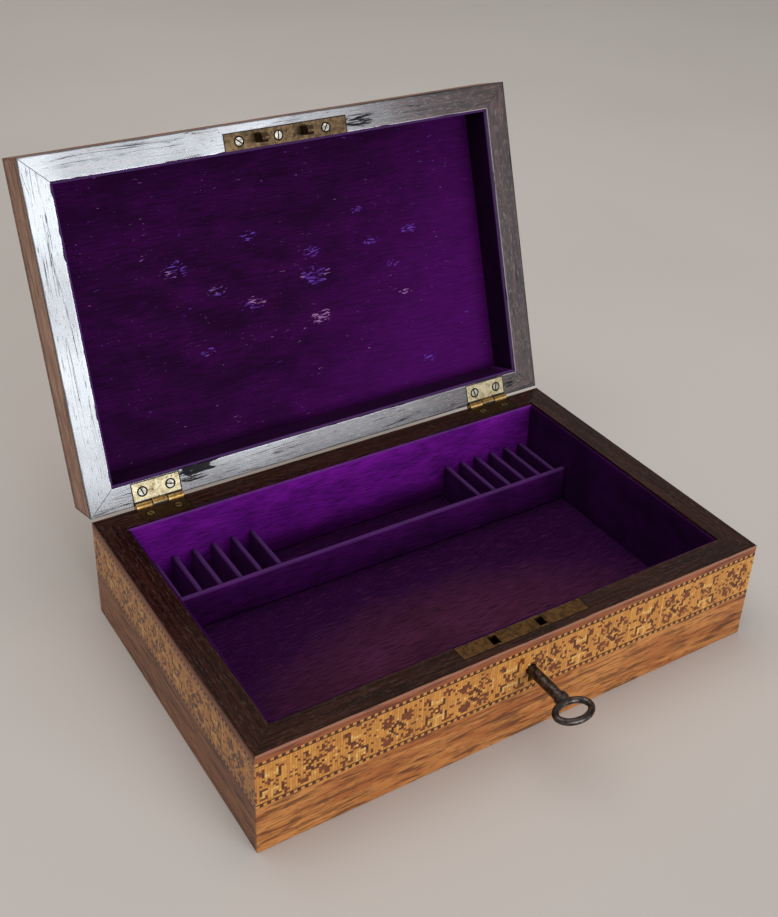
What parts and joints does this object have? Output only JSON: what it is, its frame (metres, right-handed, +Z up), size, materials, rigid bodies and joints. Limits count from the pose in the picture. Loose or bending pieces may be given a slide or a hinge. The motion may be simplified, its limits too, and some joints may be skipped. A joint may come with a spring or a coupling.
{
  "type": "locking jewellery box",
  "caption": "Rectangular veneered wooden box with a mosaic band, hinged lid, velvet lining, ribbed tray and a lock with its key.",
  "frame": {"origin": "middle of the underside of the base", "axes": "+X to the right along the front, +Y from the front to the back, +Z up"},
  "size_m": [0.24, 0.2573, 0.1953],
  "materials": {
    "mosaic": "wood mosaic of small end-grain pieces, waxed",
    "velvet": "cut velvet, worn in places",
    "dark_rim": "dark rosewood, french polished, scratched",
    "rosewood": "rosewood veneer, french polished",
    "carcase_wood": "plain sawn wood under the veneer",
    "hinge_brass": "polished brass",
    "screw_brass": "brass, worn slots",
    "lock_brass": "tarnished brass",
    "spring_steel": "blued spring steel",
    "key_iron": "dark worn iron"
  },
  "bodies": {
    "box": {"back_lining": "velvet", "back_mosaic_band": "mosaic", "back_rim": "dark_rim", "back_veneer": "rosewood", "back_wall": "carcase_wood", "base_board": "carcase_wood", "body_hinge_screws": "screw_brass", "bolt_spring": "spring_steel", "floor_lining": "velvet", "front_lining": "velvet", "front_mosaic_band": "mosaic", "front_rim": "dark_rim", "front_veneer": "rosewood", "front_wall": "carcase_wood", "left_hinge_body_leaf": "hinge_brass", "left_hinge_pin": "hinge_brass", "left_lining": "velvet", "left_mosaic_band": "mosaic", "left_rim": "dark_rim", "left_tray_ribs": "velvet", "left_veneer": "rosewood", "left_wall": "carcase_wood", "lock_cap": "lock_brass", "lock_case": "lock_brass", "lock_pins": "lock_brass", "lock_screws": "screw_brass", "right_hinge_body_leaf": "hinge_brass", "right_hinge_pin": "hinge_brass", "right_lining": "velvet", "right_mosaic_band": "mosaic", "right_rim": "dark_rim", "right_tray_ribs": "velvet", "right_veneer": "rosewood", "right_wall": "carcase_wood", "tray_divider": "velvet"},
    "lid": {"left_hinge_lid_leaf": "hinge_brass", "lid_back_rail": "carcase_wood", "lid_back_rim": "dark_rim", "lid_back_veneer": "rosewood", "lid_front_rail": "carcase_wood", "lid_front_rim": "dark_rim", "lid_front_veneer": "rosewood", "lid_hinge_screws": "screw_brass", "lid_left_rail": "carcase_wood", "lid_left_rim": "dark_rim", "lid_left_veneer": "rosewood", "lid_right_rail": "carcase_wood", "lid_right_rim": "dark_rim", "lid_right_veneer": "rosewood", "lid_top_board": "rosewood", "lid_velvet_panel": "velvet", "lid_wall_lining": "velvet", "link_plate": "lock_brass", "link_screws": "screw_brass", "link_staples": "lock_brass", "right_hinge_lid_leaf": "hinge_brass"},
    "key": {"key": "key_iron"},
    "bolt": {"lock_bolt": "lock_brass"}
  },
  "joints": [
    {"name": "lid_hinge", "type": "hinge", "parent": "box", "child": "lid", "pos_m": [0, 0.0777, 0.0482], "axis": [1, 0, 0], "range_deg": [0, 108]},
    {"name": "key_turn", "type": "hinge", "parent": "box", "child": "key", "pos_m": [0, -0.077, 0.0326], "axis": [0, 1, 0], "range_deg": [0, 180]},
    {"name": "bolt_slide", "type": "slide", "parent": "box", "child": "bolt", "axis": [1, 0, 0], "range_m": [0, 0.004]}
  ],
  "couplings": [
    {"joint": "bolt_slide", "follows": "key_turn", "m_per_rad": 0.0012732}
  ]
}
